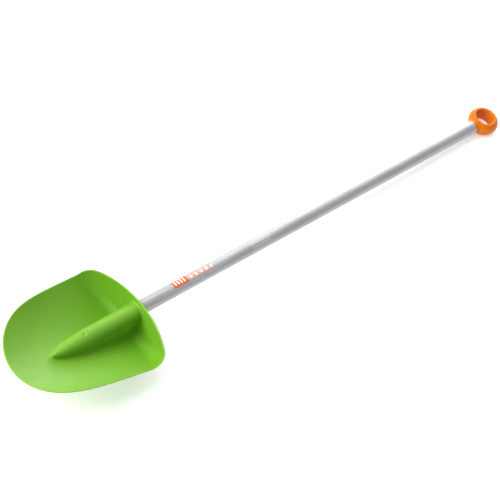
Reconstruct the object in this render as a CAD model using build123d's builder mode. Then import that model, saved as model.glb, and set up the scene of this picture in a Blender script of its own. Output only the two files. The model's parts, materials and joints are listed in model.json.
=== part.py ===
from build123d import *
import os
from math import asin, atan2, cos, hypot, radians, sin, sqrt, tan

# A child's long-handled shovel: a moulded blade, an aluminium shaft and a hanging ring.
#
# Millimetres, +Z up.  The shovel lies on its back, hollow side up, and rests on the heel of the
# blade and on the ring.  X is across the blade, the nose points to -Y and the ring to +Y, and the
# origin is under the middle of the whole shovel.
#
# Two working frames are used besides the world frame:
#   shaft frame  x across, y along the shaft towards the ring, z square to the shaft on the hollow
#                side, origin on the shaft axis at the front face of the blade's rear wall
#   pan frame    x across, p along the pan towards the nose, z square to the pan, origin on the
#                pan's centre line where the pan would meet the front face of the rear wall

# ---------------------------------------------------------------- driving dimensions
# shaft tube
tube_r = 9.0
tube_wall = 1.2
shaft_exposed = 604.0        # rear wall's front face to the end of the tube
socket_depth = 72.0          # how far the tube reaches into the blade
socket_clearance = 0.05

# hanging ring
ring_reach = 627.5           # rear wall's front face to the ring's centre
ring_section_r = 12.8        # radius of the ring's round section
ring_section_at = 8.0        # distance of that section's centre from the ring's centre
ring_hole_r = 12.4
ring_hole_edge = 2.5         # rounding of the hole's two edges
neck_step = 0.2              # the neck is this much thinner than the tube
spigot_length = 36.0
spigot_clearance = 0.1
spigot_bore_r = 4.6

# blade
skin = 2.0                   # thickness of the pan and of the rear wall
pan_slope = 14.5             # degrees between the pan's centre line and the shaft
pan_drop = 36.0              # shaft axis to the pan at the rear wall
pan_length = 192.0           # rear wall to nose, along the pan
dish_r_heel = 117.8          # dish radius at the rear wall
dish_r_nose = 98.0           # dish radius at the nose
half_width = 75.3
wall_bow_r = 172.0           # the rear wall is bowed in plan
heel_fillet = 9.0            # inside radius between pan and rear wall
arch_foot = 29.0             # off the pan, where the wall's elliptic rim springs from
arch_rise = 22.3
collar_length = 3.4          # socket collar behind the rear wall
collar_r = 12.0

# socket hump on the hollow side
hump_r = 10.5
hump_length = 128.0          # rear wall to the tip
hump_draft = 1.5             # degrees, widening downwards
gate_mark_at = 82.0
gate_mark_r = 2.8
gate_mark_depth = 1.2
channel_wall = 2.6           # wall of the hump around it
channel_rear = -3.0          # the channel under the tube starts this far behind the wall's face

# webs that carry the tube inside the hump
web_stations = (8.0, 28.0, 66.0)
web_thickness = 2.0
boss_station = 48.0
boss_thickness = 10.0

# underside ribs
rib_at = 43.0                # along the pan
rib_thickness = 2.0
rib_height = 5.0
rib_start = 11.0             # across, from the hump's flank
rib_reach = 48.0

# fastening screw
screw_r = 1.75
screw_head_r = 3.8
screw_head_h = 2.6
screw_seat = 14.0            # head seat below the shaft axis
screw_tip = 5.0
screw_clearance = 0.08
head_pocket_r = 4.6

# printed films wrapped on the shaft: distance from the rear wall, length, arc in degrees
label_film = 0.12
maker_label = (56.0, 72.0, 150.0)
code_label = (181.0, 38.0, 110.0)
label_turn = 25.0            # degrees the films are turned from the hollow side towards +X

# ---------------------------------------------------------------- resting attitude
slope = radians(pan_slope)
edge_out = ring_hole_r + ring_hole_edge
edge_up = sqrt((ring_section_r - ring_hole_edge) ** 2 - (edge_out - ring_section_at) ** 2)
heel_r = heel_fillet + skin
heel_y = -heel_fillet
heel_z = -pan_drop + heel_fillet * tan(slope) + heel_fillet / cos(slope)

# the floor is the common tangent of the heel's rounding and the ring's lower hole edge
span_y = ring_reach + edge_out - heel_y
span_z = -edge_up - heel_z
tilt = atan2(span_z, span_y) + asin((heel_r - ring_hole_edge) / hypot(span_y, span_z))
axis_height = heel_r + heel_y * sin(tilt) - heel_z * cos(tilt)

shaft_dir = Vector(0, cos(tilt), -sin(tilt))
up_dir = Vector(0, sin(tilt), cos(tilt))
across = Vector(1, 0, 0)
# the origin is under the middle of the length from the nose's lower edge to the ring's far side
ring_end_y = (ring_reach + ring_section_at) * cos(tilt) + ring_section_r
nose_end_y = -pan_drop * sin(tilt) - pan_length * cos(slope + tilt) - skin * sin(slope + tilt)
shaft_origin = Vector(0, -(ring_end_y + nose_end_y) / 2, axis_height)
shaft_axis = Axis(shaft_origin, shaft_dir)
pan_dir = shaft_dir * -cos(slope) + up_dir * sin(slope)
pan_up = shaft_dir * sin(slope) + up_dir * cos(slope)


def at_shaft(x, y, z):
    """The world point that has these coordinates in the shaft frame."""
    return shaft_origin + across * x + shaft_dir * y + up_dir * z


side_plane = Plane(origin=shaft_origin, x_dir=shaft_dir, z_dir=across)
pan_origin = at_shaft(0, 0, -pan_drop)


def plan_plane(z):
    """Square to up_dir at height z over the shaft axis; local x across, y along the shaft."""
    return Plane(origin=at_shaft(0, 0, z), x_dir=across, z_dir=up_dir)


def cross_plane(y):
    """Square to the shaft at station y; local x across, y up; its normal points to the nose."""
    return Plane(origin=at_shaft(0, y, 0), x_dir=across, z_dir=shaft_dir * -1)


def pan_section(p):
    """Square to the pan at distance p from the rear wall; local x across, y off the pan."""
    return Plane(origin=pan_origin + pan_dir * p, x_dir=across, z_dir=pan_dir)


def dish_radius(p):
    return dish_r_heel + (dish_r_nose - dish_r_heel) * p / pan_length


# ---------------------------------------------------------------- blade
sector_half_angle = 60.0
sector_ends = (-40.0, 212.0)
deep = 60.0


def dish_sector(p, inner, outer):
    """Part of the section at p: a sector between two radii about the dish's own centre."""
    radius = dish_radius(p)
    side = 3 * radius
    wing = side * tan(radians(sector_half_angle))
    with BuildSketch(pan_section(p)) as sector:
        with Locations((0, radius)):
            Circle(radius + outer)
            if inner is not None:
                Circle(radius + inner, mode=Mode.SUBTRACT)
        with BuildLine():
            Polyline((0, radius), (-wing, radius - side), (wing, radius - side), close=True)
        make_face(mode=Mode.INTERSECT)
    return sector.sketch


def bullet(rear, straight, nose, radius):
    """The upper half of a round bar on the shaft axis, with an elliptic nose."""
    with BuildPart() as bar:
        with BuildSketch(plan_plane(0)):
            with BuildLine():
                Polyline((0, -straight - nose), (0, rear), (-radius, rear), (-radius, -straight))
                EllipticalCenterArc((0, -straight), radius, nose, 180, arc_size=90)
            make_face()
        revolve(axis=shaft_axis, revolution_arc=180)
    return bar.part


def skirt(rear, straight, nose, half):
    """What stands under such a bar, its sides and nose running outwards with the draft."""
    with BuildPart() as apron:
        for depth in (0, deep):
            run_out = depth * tan(radians(hump_draft))
            with BuildSketch(plan_plane(-depth)):
                with BuildLine():
                    side = half + run_out
                    Polyline((-side, -straight), (-side, rear), (side, rear), (side, -straight))
                    EllipticalCenterArc((0, -straight), side, nose + run_out, 180, arc_size=180)
                make_face()
        loft(ruled=True)
    return apron.part


def tray(grow, rounding):
    """The space above the pan and in front of the rear wall, pushed outwards by grow."""
    with BuildPart() as space:
        for end in sector_ends:
            add(dish_sector(end, None, grow))
        loft(ruled=True)
        with BuildSketch(plan_plane(-120)):
            with Locations((0, -wall_bow_r)):
                Circle(wall_bow_r + grow)
        extrude(amount=240, mode=Mode.INTERSECT)
        heel = space.edges().filter_by(lambda edge: is_heel_edge(edge, grow))
        fillet(heel, rounding)
    return space.part


def is_heel_edge(edge, depth):
    """True for the edges where the dish meets the wall that surrounds it."""
    from_pan = edge @ 0.5 - pan_origin
    p = from_pan.dot(pan_dir)
    radius = dish_radius(p)
    below = hypot(from_pan.X, from_pan.dot(pan_up) - radius) - radius
    return abs(below - depth) < 0.05 and p < 120


pan_plane = Plane(origin=pan_origin, x_dir=across, z_dir=pan_up)

with BuildPart() as arch:
    # everything under the arched rim of the rear wall and between the sides
    with BuildSketch(pan_section(-60)):
        with Locations((0, arch_foot)):
            Ellipse(half_width, arch_rise)
        with Locations((0, arch_foot - deep)):
            Rectangle(2 * half_width, 2 * deep)
    extrude(amount=60 + sector_ends[1])

with BuildPart() as outline:
    with BuildSketch(pan_plane.offset(-40)):
        with BuildLine():
            Polyline((-half_width, -46), (-half_width, 60), (half_width, 60), (half_width, -46))
            Spline(
                (half_width, -46),
                (72.5, -82.4),
                (68.8, -120.3),
                (59.1, -156.2),
                (35.6, -182.6),
                (0, -pan_length),
                (-35.6, -182.6),
                (-59.1, -156.2),
                (-68.8, -120.3),
                (-72.5, -82.4),
                (-half_width, -46),
                tangents=[(0, -1), (0, 1)],
            )
        make_face()
    extrude(amount=160)

outer_tray = tray(skin, heel_fillet + skin)
inner_tray = tray(0, heel_fillet)
hump_rear = 1.2              # the hump starts inside the wall
hump_nose = hump_length - socket_depth
socket_r = tube_r + socket_clearance

with BuildPart() as hump:
    add(bullet(hump_rear, socket_depth, hump_nose, hump_r))
    add(skirt(hump_rear, socket_depth, hump_nose, hump_r))
    add(outer_tray, mode=Mode.INTERSECT)
    # the gate mark is a shallow round dimple on the crown
    with BuildSketch(plan_plane(hump_r - gate_mark_depth)):
        with Locations((0, -gate_mark_at)):
            Circle(gate_mark_r)
    extrude(amount=hump_r, mode=Mode.SUBTRACT)

with BuildPart() as channel:
    # the space under the tube and inside the nose, open below
    add(bullet(channel_rear, socket_depth, hump_nose - channel_wall, hump_r - channel_wall))
    add(skirt(channel_rear, socket_depth, hump_nose - channel_wall, hump_r - channel_wall))
    # the webs and the screw boss are left standing in it
    for station in web_stations:
        with BuildSketch(cross_plane(-station)):
            Rectangle(4 * hump_r, 2 * deep)
        extrude(amount=web_thickness / 2, both=True, mode=Mode.SUBTRACT)
    with BuildSketch(cross_plane(-boss_station)):
        Rectangle(4 * hump_r, 2 * deep)
    extrude(amount=boss_thickness / 2, both=True, mode=Mode.SUBTRACT)

with BuildPart() as ribs:
    add(dish_sector(rib_at - rib_thickness / 2, skin / 2, skin + rib_height))
    extrude(amount=rib_thickness, dir=pan_dir)
    with BuildSketch(plan_plane(0)):
        for side in (-1, 1):
            with Locations((side * (rib_reach + rib_start) / 2, -rib_at)):
                Rectangle(rib_reach - rib_start, 2 * rib_at)
    extrude(amount=-2 * deep, mode=Mode.INTERSECT)

with BuildPart() as blade:
    add(outer_tray)
    add(inner_tray, mode=Mode.SUBTRACT)
    add(arch.part, mode=Mode.INTERSECT)
    add(outline.part, mode=Mode.INTERSECT)
    add(hump.part)
    add(ribs.part)
    # socket collar behind the wall
    with BuildSketch(cross_plane(skin + collar_length)):
        Circle(collar_r)
    extrude(amount=collar_length + skin)
    add(channel.part, mode=Mode.SUBTRACT)
    # the bore that takes the tube
    with BuildSketch(cross_plane(2 * collar_length)):
        Circle(socket_r)
    extrude(amount=2 * collar_length + socket_depth, mode=Mode.SUBTRACT)
    # the screw's hole and the well that lets its head in from below
    with BuildSketch(plan_plane(0)):
        with Locations((0, -boss_station)):
            Circle(screw_r + screw_clearance)
    extrude(amount=-deep, mode=Mode.SUBTRACT)
    with BuildSketch(plan_plane(-screw_seat)):
        with Locations((0, -boss_station)):
            Circle(head_pocket_r)
    extrude(amount=-deep, mode=Mode.SUBTRACT)
blade.part.label = "blade"

# ---------------------------------------------------------------- shaft tube
with BuildPart() as shaft_tube:
    with BuildSketch(cross_plane(shaft_exposed)):
        Circle(tube_r)
        Circle(tube_r - tube_wall, mode=Mode.SUBTRACT)
    extrude(amount=shaft_exposed + socket_depth)
    with BuildSketch(plan_plane(0)):
        with Locations((0, -boss_station)):
            Circle(screw_r + screw_clearance)
    extrude(amount=-2 * tube_r, mode=Mode.SUBTRACT)
shaft_tube.part.label = "shaft_tube"

# ---------------------------------------------------------------- hanging ring
ring_axis = Axis(at_shaft(0, ring_reach, 0), up_dir)
neck_r = tube_r - neck_step
neck_end = ring_reach - ring_hole_r - ring_hole_edge

with BuildPart() as end_ring:
    with BuildSketch(side_plane):
        with Locations((ring_reach + ring_section_at, 0)):
            Circle(ring_section_r)
        with Locations((ring_reach + ring_hole_r + ring_section_r, 0)):
            Rectangle(2 * ring_section_r, 2 * ring_section_r, mode=Mode.INTERSECT)
    revolve(axis=ring_axis)
    # neck between the tube's end and the ring
    with BuildSketch(cross_plane(neck_end)):
        Circle(neck_r)
    extrude(amount=neck_end - shaft_exposed)
    # spigot inside the tube, moulded hollow from its free end
    with BuildSketch(cross_plane(shaft_exposed)):
        Circle(tube_r - tube_wall - spigot_clearance)
        Circle(spigot_bore_r, mode=Mode.SUBTRACT)
    extrude(amount=spigot_length)
    hole_edges = end_ring.edges().filter_by(
        lambda edge: edge.geom_type == GeomType.CIRCLE and abs(edge.radius - ring_hole_r) < 0.01
    )
    fillet(hole_edges, ring_hole_edge)
end_ring.part.label = "end_ring"

# ---------------------------------------------------------------- fastening screw
with BuildPart() as shaft_screw:
    with BuildSketch(plan_plane(-screw_seat)):
        with Locations((0, -boss_station)):
            Circle(screw_head_r)
    extrude(amount=-screw_head_h)
    fillet(shaft_screw.edges().sort_by(Axis.Z)[0], 0.8)
    # cross recess in the head
    with BuildSketch(plan_plane(-screw_seat - screw_head_h)):
        with Locations((0, -boss_station)):
            Rectangle(4.2, 0.9)
            Rectangle(0.9, 4.2)
    extrude(amount=1.6, mode=Mode.SUBTRACT)
    with BuildSketch(plan_plane(-screw_seat)):
        with Locations((0, -boss_station)):
            Circle(screw_r)
    extrude(amount=screw_seat - screw_tip)
    chamfer(shaft_screw.edges().sort_by(Axis.Z)[-1], 0.6)
shaft_screw.part.label = "shaft_screw"


# ---------------------------------------------------------------- printed films
def film(start, length, arc):
    """A thin film on the tube, centred on label_turn from the hollow side towards +X."""
    middle = 90 - label_turn
    first = radians(middle - arc / 2)
    last = radians(middle + arc / 2)
    reach = 3 * tube_r
    with BuildPart() as wrap:
        with BuildSketch(cross_plane(start + length)):
            Circle(tube_r + label_film)
            Circle(tube_r, mode=Mode.SUBTRACT)
            with BuildLine():
                Polyline(
                    (0, 0),
                    (reach * cos(first), reach * sin(first)),
                    (reach * cos(radians(middle)), reach * sin(radians(middle))),
                    (reach * cos(last), reach * sin(last)),
                    close=True,
                )
            make_face(mode=Mode.INTERSECT)
        extrude(amount=length)
    return wrap.part


maker_film = film(*maker_label)
maker_film.label = "maker_label"
code_film = film(*code_label)
code_film.label = "code_label"

# ---------------------------------------------------------------- export
os.makedirs("parts", exist_ok=True)
export_step(blade.part, "parts/blade.step")
export_step(shaft_tube.part, "parts/shaft_tube.step")
export_step(end_ring.part, "parts/end_ring.step")
export_step(shaft_screw.part, "parts/shaft_screw.step")
export_step(maker_film, "parts/maker_label.step")
export_step(code_film, "parts/code_label.step")
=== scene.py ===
"""The looks of a child's long-handled shovel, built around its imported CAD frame.

The blade and the hanging ring are described as distance fields, in millimetres, in the shaft
frame: x across the blade, y along the shaft towards the ring, z square to it on the hollow side,
with the origin on the shaft axis at the front face of the blade's rear wall. A grid of each field
is turned into quads, whose corners are then pulled onto the exact surface.
"""
import json
from math import cos, pi, radians, sin, tan

import bmesh
import bpy
import numpy as np
import openvdb
from mathutils import Matrix, Vector


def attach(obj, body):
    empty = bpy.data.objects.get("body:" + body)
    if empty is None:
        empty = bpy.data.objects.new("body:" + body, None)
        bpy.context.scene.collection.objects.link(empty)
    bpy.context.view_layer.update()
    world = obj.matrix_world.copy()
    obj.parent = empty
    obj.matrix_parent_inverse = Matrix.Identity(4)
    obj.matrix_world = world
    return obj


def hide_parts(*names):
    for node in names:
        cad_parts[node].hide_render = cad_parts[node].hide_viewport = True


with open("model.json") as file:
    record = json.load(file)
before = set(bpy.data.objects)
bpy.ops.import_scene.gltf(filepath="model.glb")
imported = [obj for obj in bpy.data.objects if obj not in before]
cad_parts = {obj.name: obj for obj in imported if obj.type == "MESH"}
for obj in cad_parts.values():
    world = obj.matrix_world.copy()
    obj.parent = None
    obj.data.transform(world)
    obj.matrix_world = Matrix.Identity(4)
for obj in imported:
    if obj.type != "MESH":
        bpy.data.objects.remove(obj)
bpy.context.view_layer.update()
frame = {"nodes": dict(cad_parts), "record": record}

# ---------------------------------------------------------------- shaft frame from the CAD frame
RING_REACH = 627.5                      # rear wall's front face to the ring's centre
mounts = {mount["name"]: mount for mount in frame["record"]["mounts"]}
across = Vector((1, 0, 0))
up_dir = Vector(mounts["hanging_hole"]["axis"]).normalized()
shaft_dir = up_dir.cross(across)
shaft_origin = Vector(mounts["hanging_hole"]["pos_m"]) - shaft_dir * RING_REACH / 1000
shaft_matrix = Matrix((across, shaft_dir, up_dir)).transposed().to_4x4()
shaft_matrix.translation = shaft_origin
MM = Matrix.Diagonal((0.001, 0.001, 0.001, 1))


def at_shaft(x, y, z):
    """The world point, in metres, of a point in the shaft frame, in millimetres."""
    return shaft_matrix @ MM @ Vector((x, y, z))


# ---------------------------------------------------------------- joining distances
LEAST_SIN2 = 0.05                       # floor of the squared sine between two normals
ROOT_GUARD = 1e-9                       # keeps roots and lengths off zero
REACH_GUARD = 1e-6                      # keeps divisors off zero, in mm


def round_max(a, b, radius, cosine):
    """Where two solids given by distances overlap, with the corner rounded.

    cosine is that of the angle between their outward normals. Returns the distance and the share
    of each normal in the joint normal.
    """
    a_in = a + radius
    b_in = b + radius
    square = np.maximum(1 - cosine * cosine, LEAST_SIN2)
    share_a = (a_in - cosine * b_in) / square
    share_b = (b_in - cosine * a_in) / square
    corner = (share_a > 0) & (share_b > 0)
    reach = np.sqrt(np.maximum(a_in * share_a + b_in * share_b, ROOT_GUARD))
    first = a >= b
    joined = np.where(corner, reach - radius, np.where(first, a, b))
    weight_a = np.where(corner, share_a / reach, np.where(first, 1.0, 0.0))
    weight_b = np.where(corner, share_b / reach, np.where(first, 0.0, 1.0))
    return joined, weight_a, weight_b


def overlap(a, b, radius):
    """Both solids at once, meeting at about a right angle in a rounded edge."""
    return round_max(a, b, radius, 0.0)[0]


def union(a, b, radius):
    """Either solid, with a fillet where they meet."""
    return -overlap(-a, -b, radius)


def cut(solid, tool, radius):
    """The solid without the tool, with a rounded edge."""
    return overlap(solid, -tool, radius)


def slab(t, middle, half_thickness):
    return np.abs(t - middle) - half_thickness


# ---------------------------------------------------------------- blade
SKIN = 1.85                             # a little under the CAD skin, to stay inside it
HALF_SKIN = SKIN / 2
SLOPE = radians(14.5)
PAN_DROP = 36.0
PAN_LENGTH = 192.0
DISH_R_HEEL = 117.8
DISH_R_NOSE = 98.0
HALF_WIDTH = 75.2
WALL_BOW_R = 172.0
HEEL_FILLET = 9.0                       # between pan and rear wall, at the middle
HEEL_FILLET_GROWTH = 13.0               # what is added to it towards the blade's sides
ARCH_FOOT = 29.0                        # off the pan, where the wall's elliptic rim springs from
ARCH_RISE = 22.3
OUTLINE_START = 46.0                    # along the pan, where the outline starts to narrow
OUTLINE_TAPER = 0.074
OUTLINE_POWER = 5.3
OUTLINE_REACH = 1.3                     # how far past the nose it is followed, as a share
LEAST_RIM_SLOPE = 0.012
TUBE_R = 9.0
SOCKET_R = 9.05
SOCKET_DEPTH = 72.0
HUMP_R = 10.5
HUMP_NOSE = 56.0
HUMP_DRAFT = tan(radians(1.5))
HUMP_FILLET = 1.8
LEAST_NOSE_SLOPE = 1e-4
CHANNEL_WALL = 2.6
CHANNEL_REAR = -3.0
WEB_STATIONS = (8.0, 28.0, 66.0)
WEB_HALF = 1.0
BOSS_STATION = 48.0
BOSS_HALF = 5.0
SCREW_HOLE_R = 1.83
SCREW_SEAT = 14.0
HEAD_POCKET_R = 4.6
COLLAR_R = 12.0
COLLAR_END = 5.4
GATE_MARK_AT = 82.0
GATE_MARK_R = 3.2
GATE_MARK_LIFT = 1.6                    # its ball's centre above the crown of the hump
RIB_AT = 43.0
RIB_HALF = 1.0
RIB_HEIGHT = 5.0
RIB_START = 11.0
RIB_REACH = 48.0
# rounded edges and fillets
GATE_MARK_EDGE_R = 0.35
RIB_EDGE_R = 0.6
RIB_END_R = 1.0
RIB_FILLET = 0.8
COLLAR_EDGE_R = 0.9
COLLAR_FILLET = 1.6
CHANNEL_EDGE_R = 0.7
WEB_EDGE_R = 0.6
BOSS_EDGE_R = 0.8
BORE_EDGE_R = 0.5
SCREW_HOLE_EDGE_R = 0.3
POCKET_FLOOR_R = 0.4
POCKET_EDGE_R = 0.6


def pan_frame(y, z):
    """Distance along the pan from the wall, and height off the pan's centre line."""
    along = -y * cos(SLOPE) + (z + PAN_DROP) * sin(SLOPE)
    off = y * sin(SLOPE) + (z + PAN_DROP) * cos(SLOPE)
    return along, off


def dish(x, along, off):
    """Distance under the dished pan, and the normal's part across and off the pan."""
    radius = DISH_R_HEEL + (DISH_R_NOSE - DISH_R_HEEL) * along / PAN_LENGTH
    reach = np.hypot(x, off - radius)
    return reach - radius, x / reach, (off - radius) / reach


def wall_plan(x, y):
    """Distance behind the bowed rear wall, and the normal in plan."""
    reach = np.maximum(np.hypot(x, y + WALL_BOW_R), REACH_GUARD)
    return reach - WALL_BOW_R, x / reach, (y + WALL_BOW_R) / reach


def hollow(x, y, z):
    """Distance out of the blade's hollow, and that field's normal in the shaft frame."""
    along, off = pan_frame(y, z)
    under, pan_x, pan_off = dish(x, along, off)
    plan, plan_x, plan_y = wall_plan(x, y)
    pan_y = pan_off * sin(SLOPE)
    cosine = pan_x * plan_x + pan_y * plan_y
    fillet = HEEL_FILLET + HEEL_FILLET_GROWTH * np.minimum(np.abs(x) / HALF_WIDTH, 1) ** 4
    out, by_pan, by_plan = round_max(under, plan, fillet, cosine)
    normal_x = by_pan * pan_x + by_plan * plan_x
    normal_y = by_pan * pan_y + by_plan * plan_y
    normal_z = by_pan * pan_off * cos(SLOPE)
    return out, (normal_x, normal_y, normal_z)


def rim(x, y, z):
    """Distance past the blade's rim, and that field's normal in the shaft frame."""
    along, off = pan_frame(y, z)
    span = PAN_LENGTH - OUTLINE_START
    share = np.clip((along - OUTLINE_START) / span, 0, OUTLINE_REACH)
    half = HALF_WIDTH - OUTLINE_TAPER * share * span
    arch = np.maximum(off - ARCH_FOOT, 0) / ARCH_RISE
    level = (x / half) ** 2 + share**OUTLINE_POWER + arch**2 - 1
    grad_x = 2 * x / half**2
    narrowing = 2 * x**2 / half**3 * OUTLINE_TAPER
    grad_p = OUTLINE_POWER * share ** (OUTLINE_POWER - 1) / span + narrowing
    grad_off = 2 * arch / ARCH_RISE
    grad = np.maximum(np.sqrt(grad_x**2 + grad_p**2 + grad_off**2), LEAST_RIM_SLOPE)
    normal_y = -grad_p * cos(SLOPE) + grad_off * sin(SLOPE)
    normal_z = grad_p * sin(SLOPE) + grad_off * cos(SLOPE)
    return level / grad, (grad_x / grad, normal_y / grad, normal_z / grad)


def sheet(out, out_normal, past, past_normal):
    """The skin between the hollow and its outside, ended by a full round along the rim."""
    f = out - HALF_SKIN
    g = past + HALF_SKIN
    cosine = sum(a * b for a, b in zip(out_normal, past_normal))
    square = np.maximum(1 - cosine * cosine, LEAST_SIN2)
    share_f = (f - cosine * g) / square
    share_g = (g - cosine * f) / square
    to_edge = np.sqrt(np.maximum(f * share_f + g * share_g, ROOT_GUARD))
    return np.where(share_g > 0, to_edge, np.abs(f)) - HALF_SKIN


def nosed_bar(x, y, z, radius, nose):
    """A bar on the shaft axis with an elliptic nose; under the axis its sides run outwards."""
    run_out = HUMP_DRAFT * np.maximum(-z, 0)
    ahead = np.maximum(-y - SOCKET_DEPTH, 0) / (nose + run_out)
    aside = np.hypot(x, np.maximum(z, 0)) / (radius + run_out)
    level = np.hypot(ahead, aside)
    grad = np.hypot(ahead / (nose + run_out), aside / (radius + run_out))
    return (level - 1) * level / np.maximum(grad, LEAST_NOSE_SLOPE)


def blade(x, y, z):
    """Distance out of the blade's plastic."""
    out, out_normal = hollow(x, y, z)
    past, past_normal = rim(x, y, z)
    solid = sheet(out, out_normal, past, past_normal)
    outside = out - SKIN
    hump = nosed_bar(x, y, z, HUMP_R, HUMP_NOSE)
    solid = overlap(union(solid, hump, HUMP_FILLET), outside, 0.0)
    # underside ribs
    along = pan_frame(y, z)[0]
    side = (RIB_REACH + RIB_START) / 2
    rib = overlap(slab(along, RIB_AT, RIB_HALF), slab(out, SKIN, RIB_HEIGHT), RIB_EDGE_R)
    rib = overlap(rib, slab(np.abs(x), side, RIB_REACH - side), RIB_END_R)
    rib = np.maximum(rib, HALF_SKIN - out)
    solid = union(solid, rib, RIB_FILLET)
    # collar behind the wall
    round_body = np.hypot(x, z)
    collar_span = slab(y, COLLAR_END / 2, COLLAR_END / 2)
    collar = overlap(round_body - COLLAR_R, collar_span, COLLAR_EDGE_R)
    solid = union(solid, collar, COLLAR_FILLET)
    # channel under the tube, with the webs and the screw boss standing in it
    channel = nosed_bar(x, y, z, HUMP_R - CHANNEL_WALL, HUMP_NOSE - CHANNEL_WALL)
    channel = np.maximum(channel, y - CHANNEL_REAR)
    for station in WEB_STATIONS:
        channel = cut(channel, slab(-y, station, WEB_HALF), WEB_EDGE_R)
    channel = cut(channel, slab(-y, BOSS_STATION, BOSS_HALF), BOSS_EDGE_R)
    solid = cut(solid, channel, CHANNEL_EDGE_R)
    # tube bore, screw hole and the well for its head
    bore = np.maximum(round_body - SOCKET_R, -y - SOCKET_DEPTH)
    solid = cut(solid, bore, BORE_EDGE_R)
    from_screw = np.hypot(x, y + BOSS_STATION)
    solid = cut(solid, np.maximum(from_screw - SCREW_HOLE_R, z), SCREW_HOLE_EDGE_R)
    pocket = overlap(from_screw - HEAD_POCKET_R, z + SCREW_SEAT, POCKET_FLOOR_R)
    solid = cut(solid, pocket, POCKET_EDGE_R)
    # gate mark on the crown of the hump
    over_crown = z - HUMP_R - GATE_MARK_LIFT
    mark = np.sqrt(x**2 + (y + GATE_MARK_AT) ** 2 + over_crown**2) - GATE_MARK_R
    return cut(solid, mark, GATE_MARK_EDGE_R)


# ---------------------------------------------------------------- hanging ring
RING_SECTION_R = 12.78
RING_SECTION_AT = 8.0
RING_HOLE_R = 12.4
RING_HOLE_EDGE = 2.6
TUBE_END = 604.0
NECK_R = 8.8
NECK_FILLET = 3.0
SPIGOT_R = 7.7
SPIGOT_BORE_R = 4.6
SPIGOT_LENGTH = 36.0
SPIGOT_OVERLAP = 4.0                    # how far the spigot runs up into the neck
NECK_EDGE_R = 0.5
SPIGOT_EDGE_R = 0.6
SPIGOT_BORE_EDGE_R = 0.4


def end_ring(x, y, z):
    """Distance out of the ring's plastic."""
    radial = np.hypot(x, y - RING_REACH)
    section_reach = np.maximum(np.hypot(radial - RING_SECTION_AT, z), REACH_GUARD)
    body = section_reach - RING_SECTION_R
    round_body = np.hypot(x, z)
    neck_span = (TUBE_END + RING_REACH) / 2
    neck = overlap(round_body - NECK_R, slab(y, neck_span, neck_span - TUBE_END), NECK_EDGE_R)
    solid = union(body, neck, NECK_FILLET)
    spigot = overlap(round_body - SPIGOT_R, slab(y, TUBE_END, SPIGOT_LENGTH), SPIGOT_EDGE_R)
    spigot = np.maximum(spigot, y - TUBE_END - SPIGOT_OVERLAP)
    spigot_bore = np.maximum(round_body - SPIGOT_BORE_R, y - TUBE_END)
    solid = np.minimum(solid, cut(spigot, spigot_bore, SPIGOT_BORE_EDGE_R))
    cosine = -(radial - RING_SECTION_AT) / section_reach
    return round_max(solid, RING_HOLE_R - radial, RING_HOLE_EDGE, cosine)[0]


# ---------------------------------------------------------------- from field to mesh
NARROW_BAND = 4.0                       # the grid holds distances up to this
SLOPE_STEP = 0.02
PULLS = 4
LEAST_SLOPE2 = 0.1


def steps(low, high, step):
    count = int(round((high - low) / step)) + 1
    return low + step * np.arange(count)


def field_piece(name, field, low, high, step):
    """A mesh object of the surface where the field is zero, inside a box in the shaft frame."""
    xs, ys, zs = (steps(a, b, step) for a, b in zip(low, high))
    values = np.empty((len(xs), len(ys), len(zs)), np.float32)
    grid_y, grid_z = np.meshgrid(ys, zs, indexing="ij")
    for i, x in enumerate(xs):
        values[i] = field(np.full_like(grid_y, x), grid_y, grid_z)
    grid = openvdb.FloatGrid(NARROW_BAND)
    grid.copyFromArray(np.clip(values, -NARROW_BAND, NARROW_BAND), tolerance=0)
    points, quads = grid.convertToQuads(isovalue=0.0)
    points = points.astype(float) * step + np.array(low, float)
    points = pull_to_surface(field, points, step)
    mesh = bpy.data.meshes.new(name)
    mesh.from_pydata(points.tolist(), [], quads.tolist())
    work = bmesh.new()
    work.from_mesh(mesh)
    bmesh.ops.recalc_face_normals(work, faces=work.faces)
    work.to_mesh(mesh)
    work.free()
    mesh.transform(shaft_matrix @ MM)
    mesh.shade_smooth()
    piece = bpy.data.objects.new(name, mesh)
    bpy.context.scene.collection.objects.link(piece)
    return piece


def pull_to_surface(field, points, step):
    """Newton steps along the field's slope, each no longer than half a grid step."""
    for _ in range(PULLS):
        value = field(*points.T)
        slope = np.empty_like(points)
        for axis in range(3):
            shift = np.zeros(3)
            shift[axis] = SLOPE_STEP
            rise = field(*(points + shift).T) - field(*(points - shift).T)
            slope[:, axis] = rise / (2 * SLOPE_STEP)
        square = np.maximum((slope**2).sum(1), LEAST_SLOPE2)
        move = -slope * (value / square)[:, None]
        length = np.maximum(np.linalg.norm(move, axis=1), ROOT_GUARD)
        points = points + move * np.minimum(1, step / 2 / length)[:, None]
    return points


# ---------------------------------------------------------------- materials
def srgb(red, green, blue):
    """Linear colour of 0 to 255 display values."""
    values = (channel / 255 for channel in (red, green, blue))
    linear = (v / 12.92 if v < 0.04045 else ((v + 0.055) / 1.055) ** 2.4 for v in values)
    return tuple(linear) + (1.0,)


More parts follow.
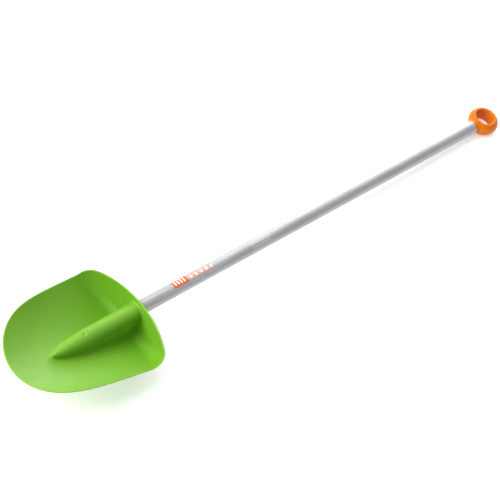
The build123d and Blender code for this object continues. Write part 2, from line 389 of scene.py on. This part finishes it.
class Material:
    """A node material round one Principled shader, with short ways to add nodes."""

    def __init__(self, name):
        self.data = bpy.data.materials.new(name)
        self.data.use_nodes = True
        self.nodes = self.data.node_tree.nodes
        self.links = self.data.node_tree.links
        self.shader = self.nodes["Principled BSDF"]
        self.place = self.nodes.new("ShaderNodeTexCoord").outputs["Object"]

    def link(self, source, target):
        self.links.new(source, target)

    def set(self, **values):
        for key, value in values.items():
            self.shader.inputs[key.replace("_", " ")].default_value = value

    def noise(self, scale, detail=2.0, stretch=None, roughness=0.5):
        node = self.nodes.new("ShaderNodeTexNoise")
        node.inputs["Scale"].default_value = scale
        node.inputs["Detail"].default_value = detail
        node.inputs["Roughness"].default_value = roughness
        self.link(self.stretched(stretch) if stretch else self.place, node.inputs["Vector"])
        return node.outputs["Fac"]

    def stretched(self, factors):
        """Shaft-frame coordinates in metres, scaled by factors."""
        node = self.nodes.new("ShaderNodeMapping")
        node.vector_type = "POINT"
        node.inputs["Rotation"].default_value = shaft_matrix.to_3x3().inverted().to_euler()
        self.link(self.place, node.inputs["Vector"])
        return self.vector_math("MULTIPLY", node.outputs["Vector"], factors)

    def ramp(self, source, stops):
        node = self.nodes.new("ShaderNodeValToRGB")
        elements = node.color_ramp.elements
        while len(elements) < len(stops):
            elements.new(0.5)
        for element, (position, value) in zip(elements, stops):
            element.position = position
            element.color = value if isinstance(value, tuple) else (value, value, value, 1)
        self.link(source, node.inputs["Fac"])
        return node.outputs["Color"]

    def mix(self, factor, first, second):
        node = self.nodes.new("ShaderNodeMix")
        node.data_type = "RGBA"
        sockets = (node.inputs[0], node.inputs[6], node.inputs[7])
        for socket, value in zip(sockets, (factor, first, second)):
            if isinstance(value, (float, tuple)):
                socket.default_value = value
            else:
                self.link(value, socket)
        return node.outputs[2]

    def math(self, operation, first, second=0.0):
        node = self.nodes.new("ShaderNodeMath")
        node.operation = operation
        for socket, value in zip(node.inputs, (first, second)):
            if isinstance(value, (float, int)):
                socket.default_value = value
            else:
                self.link(value, socket)
        return node.outputs[0]

    def between(self, value, low, high):
        """1 where the value lies between low and high, 0 elsewhere."""
        over = self.math("GREATER_THAN", value, low)
        return self.math("MULTIPLY", over, self.math("LESS_THAN", value, high))

    def vector_math(self, operation, first, second):
        node = self.nodes.new("ShaderNodeVectorMath")
        node.operation = operation
        self.link(first, node.inputs[0])
        node.inputs[1].default_value = second
        return node.outputs["Value" if operation == "DOT_PRODUCT" else "Vector"]

    def round_the_shaft(self):
        """Station along the shaft in mm, and degrees round it from the hollow side towards +X."""
        offset = self.vector_math("SUBTRACT", self.place, shaft_origin)
        along, side, up = (
            self.vector_math("DOT_PRODUCT", offset, axis) for axis in (shaft_dir, across, up_dir)
        )
        turn = self.math("DEGREES", self.math("ARCTAN2", side, up))
        return self.math("MULTIPLY", along, 1000.0), turn

    def bump(self, height, strength, distance, after=None):
        node = self.nodes.new("ShaderNodeBump")
        node.inputs["Strength"].default_value = strength
        node.inputs["Distance"].default_value = distance
        self.link(height, node.inputs["Height"])
        if after is not None:
            self.link(after, node.inputs["Normal"])
        self.link(node.outputs["Normal"], self.shader.inputs["Normal"])
        return node.outputs["Normal"]

    def edge_wear(self, low, high):
        """1 on convex edges, 0 elsewhere."""
        node = self.nodes.new("ShaderNodeNewGeometry")
        return self.ramp(node.outputs["Pointiness"], ((low, 0.0), (high, 1.0)))


def moulded_plastic(name, base, light, deep, roughness, grain):
    """Satin moulded plastic: cloudy colour, fine grain, rubbed edges and light scuffs."""
    m = Material(name)
    cloud = m.noise(14.0, 3.0)
    tone = m.mix(m.ramp(cloud, ((0.35, 0.0), (0.65, 1.0))), deep, base)
    wear = m.edge_wear(0.52, 0.62)
    m.link(m.mix(m.math("MULTIPLY", wear, 0.5), tone, light), m.shader.inputs["Base Color"])
    scuffs = m.noise(260.0, 4.0, (1.0, 0.12, 1.0), 0.7)
    rough = m.ramp(scuffs, ((0.3, roughness - 0.05), (0.75, roughness + 0.07)))
    m.link(rough, m.shader.inputs["Roughness"])
    first = m.bump(m.noise(grain, 2.0), 0.06, 0.0003)
    m.bump(m.noise(90.0, 2.0), 0.10, 0.0006, first)
    return m


def blade_plastic():
    m = moulded_plastic(
        "blade_plastic",
        base=(0.165, 0.41, 0.014, 1),
        light=(0.36, 0.52, 0.06, 1),
        deep=(0.150, 0.39, 0.012, 1),
        roughness=0.52,
        grain=2600.0,
    )
    m.set(Specular_IOR_Level=0.6, Subsurface_Weight=0.12, Subsurface_Scale=0.004)
    m.shader.inputs["Subsurface Radius"].default_value = (0.6, 1.0, 0.2)
    return m.data


def ring_plastic():
    m = moulded_plastic(
        "ring_plastic",
        base=(0.72, 0.185, 0.003, 1),
        light=(0.80, 0.30, 0.02, 1),
        deep=(0.64, 0.15, 0.002, 1),
        roughness=0.36,
        grain=2200.0,
    )
    m.set(Specular_IOR_Level=0.25, Subsurface_Weight=0.08, Subsurface_Scale=0.003)
    m.shader.inputs["Subsurface Radius"].default_value = (1.0, 0.5, 0.1)
    return m.data


ANODISED_METALLIC = 0.28                # the anodised film scatters most of the light


def drawn_aluminium(m):
    """Satin anodised tube: long drawing lines and a soft change of tone."""
    lines = m.noise(1.0, 3.0, (1500.0, 6.0, 1500.0), 0.6)
    cloud = m.noise(1.0, 2.0, (60.0, 14.0, 60.0))
    dull, bright = (0.39, 0.395, 0.405, 1), (0.45, 0.455, 0.46, 1)
    tone = m.mix(m.ramp(cloud, ((0.3, 0.0), (0.7, 1.0))), dull, bright)
    rough = m.ramp(lines, ((0.25, 0.29), (0.75, 0.38)))
    m.set(Metallic=ANODISED_METALLIC)
    m.bump(lines, 0.05, 0.0002)
    return tone, rough


def tube_metal():
    m = Material("tube_metal")
    tone, rough = drawn_aluminium(m)
    m.link(tone, m.shader.inputs["Base Color"])
    m.link(rough, m.shader.inputs["Roughness"])
    return m.data


ORANGE = srgb(216, 88, 22)
PALE_ORANGE = srgb(226, 142, 92)
WHITE = srgb(234, 232, 228)
PALE_GREY = srgb(198, 199, 201)
# each block of bars: start and end along the shaft in mm, from and to in degrees from the hollow
# side towards +X, bar pitch in mm, inked share of the pitch, ink
MAKER_PRINT = (
    (57.0, 80.0, -46.0, 24.0, 30.0, 1.0, ORANGE),
    (60.0, 78.0, -42.0, 8.0, 4.6, 0.45, WHITE),
    (83.0, 121.0, -36.0, 20.0, 4.2, 0.50, PALE_ORANGE),
    (84.0, 120.0, -22.0, 8.0, 8.4, 0.40, WHITE),
    (84.0, 104.0, 34.0, 46.0, 3.4, 0.50, PALE_GREY),
    (108.0, 127.0, 32.0, 38.0, 2.4, 0.60, PALE_GREY),
)
CODE_PRINT = (
    (183.0, 217.0, -6.0, 14.0, 3.2, 0.55, PALE_GREY),
    (186.0, 216.0, 26.0, 48.0, 3.8, 0.45, PALE_GREY),
)


def printed_film(name, blocks):
    """The tube's metal with rows of plain bars inked on it."""
    m = Material(name)
    tone, rough = drawn_aluminium(m)
    along, turn = m.round_the_shaft()
    bare = ANODISED_METALLIC
    for start, end, low, high, pitch, share, ink in blocks:
        inside = m.math("MULTIPLY", m.between(along, start, end), m.between(turn, low, high))
        phase = m.math("FRACT", m.math("DIVIDE", m.math("SUBTRACT", along, start), pitch))
        inked = m.math("MULTIPLY", inside, m.math("LESS_THAN", phase, share))
        tone = m.mix(inked, tone, ink)
        bare = m.math("MULTIPLY", bare, m.math("SUBTRACT", 1.0, inked))
    m.link(tone, m.shader.inputs["Base Color"])
    m.link(bare, m.shader.inputs["Metallic"])
    m.link(rough, m.shader.inputs["Roughness"])
    return m.data


def screw_steel():
    m = Material("screw_steel")
    patches = m.noise(900.0, 4.0)
    dull, bright = srgb(190, 190, 186), srgb(214, 213, 206)
    tone = m.mix(m.ramp(patches, ((0.4, 0.0), (0.6, 1.0))), dull, bright)
    m.link(tone, m.shader.inputs["Base Color"])
    m.link(m.ramp(patches, ((0.3, 0.24), (0.7, 0.42))), m.shader.inputs["Roughness"])
    m.set(Metallic=1.0)
    m.bump(m.noise(3000.0, 2.0), 0.08, 0.0001)
    return m.data


def dress(piece, material):
    piece.data.materials.clear()
    piece.data.materials.append(material)


# ---------------------------------------------------------------- pieces
BLADE_BOX = ((-80, -192, -50), (80, 14, 28))
RING_BOX = ((-24, 564, -15), (24, 652, 15))

blade_step = 0.8
shell = field_piece("blade_shell", blade, *BLADE_BOX, blade_step)
dress(shell, blade_plastic())
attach(shell, "root")
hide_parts("blade")

ring_step = 0.5
loop = field_piece("hanging_ring", end_ring, *RING_BOX, ring_step)
dress(loop, ring_plastic())
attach(loop, "root")
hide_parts("end_ring")

dress(frame["nodes"]["shaft_tube"], tube_metal())
dress(frame["nodes"]["shaft_screw"], screw_steel())
dress(frame["nodes"]["maker_label"], printed_film("maker_print", MAKER_PRINT))
dress(frame["nodes"]["code_label"], printed_film("code_print", CODE_PRINT))


# ---------------------------------------------------------------- floor, lights and camera
def floor():
    mesh = bpy.data.meshes.new("floor")
    half = 6.0
    corners = [(-half, -half, 0), (half, -half, 0), (half, half, 0), (-half, half, 0)]
    mesh.from_pydata(corners, [], [(0, 1, 2, 3)])
    piece = bpy.data.objects.new("floor", mesh)
    bpy.context.scene.collection.objects.link(piece)
    m = Material("floor_paper")
    m.set(Base_Color=(0.92, 0.92, 0.92, 1), Roughness=0.95, Specular_IOR_Level=0.1)
    m.set(Emission_Color=(1.0, 1.0, 1.0, 1), Emission_Strength=0.4)
    dress(piece, m.data)


def softbox(name, position, target, size, radiance):
    light = bpy.data.lights.new(name, "AREA")
    light.shape = "RECTANGLE"
    light.size, light.size_y = size
    light.energy = radiance * pi * size[0] * size[1]
    box = bpy.data.objects.new(name, light)
    box.location = position
    box.rotation_euler = (Vector(target) - Vector(position)).to_track_quat("-Z", "Y").to_euler()
    bpy.context.scene.collection.objects.link(box)


def studio():
    world = bpy.data.worlds.new("studio")
    bpy.context.scene.world = world
    world.use_nodes = True
    background = world.node_tree.nodes["Background"]
    background.inputs["Color"].default_value = (1.0, 1.0, 1.0, 1)
    background.inputs["Strength"].default_value = 0.38
    softbox("low", (-1.2, 1.65, 0.45), (0, -0.25, 0.03), (1.3, 0.9), 6.0)
    softbox("high", (-1.0, 1.2, 1.45), (0, -0.1, 0.05), (2.2, 1.0), 1.7)
    softbox("front", (-0.9, -1.7, 1.3), (0, -0.1, 0), (1.6, 1.6), 7.0)
    softbox("top", (-0.5, -0.4, 2.1), (0, 0, 0), (1.2, 1.2), 2.6)


CAMERA_AT = (749.5, -1234.9, 1853.4)     # in the shaft frame
CAMERA_RIGHT = (0.6340, 0.7158, 0.2928)
CAMERA_UP = (-0.7107, 0.3901, 0.5854)
LENS = 144.0


def camera():
    data = bpy.data.cameras.new("camera")
    data.lens = LENS
    data.sensor_width = 36.0
    data.clip_start = 0.05
    data.clip_end = 50
    eye = bpy.data.objects.new("camera", data)
    right = Vector(CAMERA_RIGHT).normalized()
    up = Vector(CAMERA_UP)
    up = (up - right * up.dot(right)).normalized()
    turn = Matrix((right, up, right.cross(up))).transposed().to_4x4()
    eye.matrix_world = shaft_matrix @ Matrix.Translation(Vector(CAMERA_AT) / 1000) @ turn
    bpy.context.scene.collection.objects.link(eye)
    bpy.context.scene.camera = eye


floor()
studio()
camera()
bpy.context.scene.view_settings.view_transform = "Standard"
